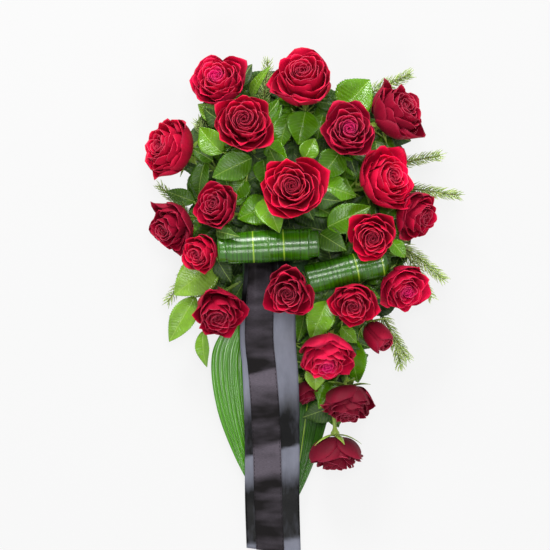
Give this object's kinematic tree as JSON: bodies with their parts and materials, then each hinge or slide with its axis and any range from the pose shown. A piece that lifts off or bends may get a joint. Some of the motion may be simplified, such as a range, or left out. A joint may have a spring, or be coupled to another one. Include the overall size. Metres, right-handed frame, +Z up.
{
  "type": "funeral arrangement",
  "caption": "Teardrop funeral spray of red roses with leaves, rolled leaf tubes and spruce set in foam, with two black mourning ribbons, lying flat",
  "frame": {"origin": "middle of the bottom of the whole spray's box, on the surface it lies on", "axes": "+Z up, away from the surface; +Y along the spray to its top end, opposite the ribbon ends; +X to the right seen from above"},
  "size_m": [0.4416, 0.7144, 0.2074],
  "materials": {
    "rose_petals": "velvety dark red petals",
    "rose_green": "semi-gloss rose leaves and stems",
    "aspidistra_leaf": "glossy leathery leaf with fine parallel veins",
    "spruce_green": "needle-covered twigs",
    "satin_ribbon": "black satin",
    "sheer_ribbon": "black-brown semi-sheer ribbon with stitched edges",
    "floral_foam": "soaked green foam",
    "tray_plastic": "moulded dark green plastic"
  },
  "bodies": {
    "root": {"tray": "tray_plastic", "foam": "floral_foam", "rose_01_bloom": "rose_petals", "rose_01_stem": "rose_green", "rose_02_bloom": "rose_petals", "rose_02_stem": "rose_green", "rose_03_bloom": "rose_petals", "rose_03_stem": "rose_green", "rose_04_bloom": "rose_petals", "rose_04_stem": "rose_green", "rose_05_bloom": "rose_petals", "rose_05_stem": "rose_green", "rose_06_bloom": "rose_petals", "rose_06_stem": "rose_green", "rose_07_bloom": "rose_petals", "rose_07_stem": "rose_green", "rose_08_bloom": "rose_petals", "rose_08_stem": "rose_green", "rose_09_bloom": "rose_petals", "rose_09_stem": "rose_green", "rose_10_bloom": "rose_petals", "rose_10_stem": "rose_green", "rose_11_bloom": "rose_petals", "rose_11_stem": "rose_green", "rose_12_bloom": "rose_petals", "rose_12_stem": "rose_green", "rose_13_bloom": "rose_petals", "rose_13_stem": "rose_green", "rose_14_bloom": "rose_petals", "rose_14_stem": "rose_green", "rose_15_bloom": "rose_petals", "rose_15_stem": "rose_green", "rose_16_bloom": "rose_petals", "rose_16_stem": "rose_green", "rose_17_bloom": "rose_petals", "rose_17_stem": "rose_green", "rose_18_bloom": "rose_petals", "rose_18_stem": "rose_green", "rose_19_bloom": "rose_petals", "rose_19_stem": "rose_green", "rose_20_bloom": "rose_petals", "rose_20_stem": "rose_green", "rose_21_bloom": "rose_petals", "rose_21_stem": "rose_green", "rose_22_bloom": "rose_petals", "rose_22_stem": "rose_green", "leaf_roll_left": "aspidistra_leaf", "leaf_roll_right": "aspidistra_leaf", "blade_left": "aspidistra_leaf", "blade_right": "aspidistra_leaf", "spruce_top": "spruce_green", "spruce_top_right": "spruce_green", "spruce_right_upper": "spruce_green", "spruce_right_middle": "spruce_green", "spruce_right_lower": "spruce_green", "spruce_low_right": "spruce_green", "spruce_left": "spruce_green", "spruce_left_upper": "spruce_green", "ribbon_wide": "satin_ribbon", "ribbon_narrow": "sheer_ribbon"}
  },
  "joints": []
}
